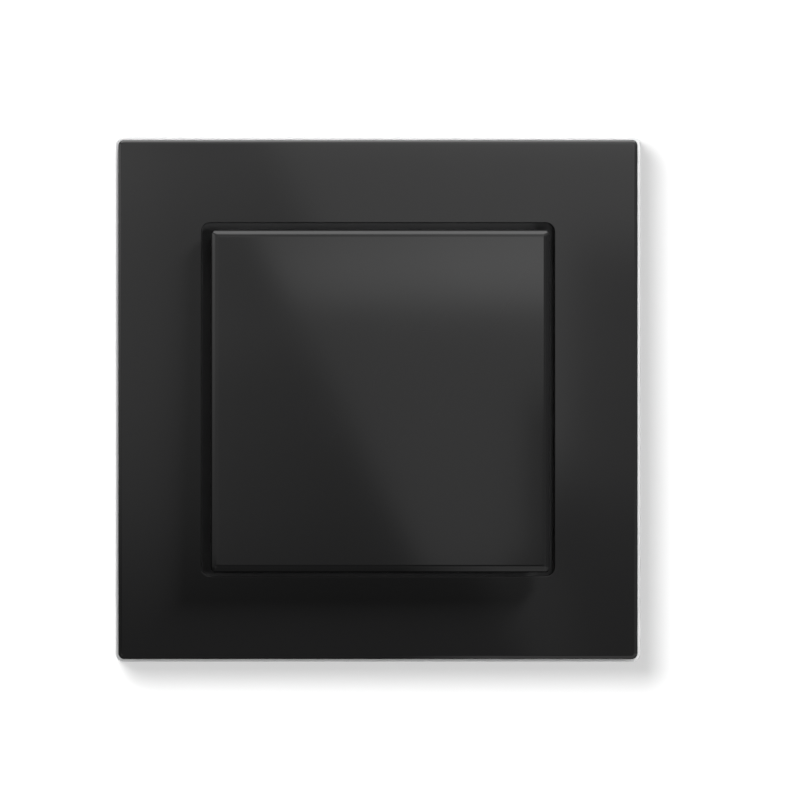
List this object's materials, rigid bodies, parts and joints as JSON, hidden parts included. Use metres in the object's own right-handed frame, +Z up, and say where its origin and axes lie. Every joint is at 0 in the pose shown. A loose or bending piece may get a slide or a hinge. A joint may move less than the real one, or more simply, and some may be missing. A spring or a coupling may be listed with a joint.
{
  "type": "smart button",
  "caption": "Square wall push button: a hinged gloss push plate in a gloss frame on a slim light trim, over a self-powered radio module.",
  "frame": {"origin": "centre of the wall plate's back face, where it lies on the wall", "axes": "+Y into the wall, -Y out of the button's face, +X right and +Z up as seen from the front"},
  "size_m": [0.082, 0.0159, 0.082],
  "materials": {
    "gloss_black": "high gloss, lacquered",
    "trim_silver": "satin silver lacquer",
    "bond_film": "thin acrylic adhesive film",
    "pad_foam": "closed-cell foam tape",
    "black_plastic": "fine moulded texture",
    "grey_plastic": "fine moulded texture",
    "case_plastic": "fine moulded texture",
    "swing_plastic": "natural acetal, smooth",
    "bobbin_plastic": "glass-filled, matt",
    "rubber": "soft moulded rubber",
    "pin_steel": "ground",
    "screw_steel": "zinc plated",
    "spring_steel": "drawn wire and strip",
    "soft_iron": "annealed and plated",
    "magnet_nickel": "nickel plated",
    "copper_wire": "enamelled copper",
    "tinned_brass": "tinned",
    "board_laminate": "green solder mask",
    "chip_resin": "moulded resin",
    "can_metal": "drawn can",
    "chip_ceramic": "fired ceramic"
  },
  "bodies": {
    "root": {"wall_plate": "grey_plastic", "adhesive_pads": "pad_foam", "trim_frame": "trim_silver", "frame_bond": "bond_film", "frame_glass": "gloss_black", "carrier_frame": "black_plastic", "hinge_pin_left": "pin_steel", "hinge_pin_right": "pin_steel", "bumper_left": "rubber", "bumper_right": "rubber", "button_spring_left": "spring_steel", "button_spring_right": "spring_steel", "module_base": "case_plastic", "module_cover": "case_plastic", "module_screws": "screw_steel", "circuit_board": "board_laminate", "radio_chip": "chip_resin", "timing_crystal": "can_metal", "storage_capacitor": "can_metal", "rectifier_diodes": "chip_resin", "chip_parts": "chip_ceramic", "antenna_wire": "copper_wire", "rear_pole_shoe": "soft_iron", "front_pole_shoe": "soft_iron", "magnet_left": "magnet_nickel", "magnet_right": "magnet_nickel", "coil_bobbin": "bobbin_plastic", "coil_winding": "copper_wire", "coil_terminals": "tinned_brass", "return_leaf": "spring_steel"},
    "button": {"button_tray": "black_plastic", "button_bond": "bond_film", "button_cap": "gloss_black"},
    "swing": {"swing_frame": "swing_plastic", "armature": "soft_iron"}
  },
  "joints": [
    {"name": "button_press", "type": "hinge", "parent": "root", "child": "button", "pos_m": [0, -0.0086, 0.0232], "axis": [1, 0, 0], "range_deg": [0, 2.2], "stiffness_Nm_per_rad": 3, "springref_deg": -1.15, "deforming": ["button_spring_left", "button_spring_right"]},
    {"name": "swing", "type": "hinge", "parent": "root", "child": "swing", "pos_m": [0, -0.006, 0], "axis": [1, 0, 0], "range_deg": [0, 5.21], "stiffness_Nm_per_rad": 0.02, "springref_deg": -2.86, "deforming": ["return_leaf"]}
  ],
  "couplings": [
    {"joint": "swing", "follows": "button_press", "ratio": 2.3647}
  ]
}
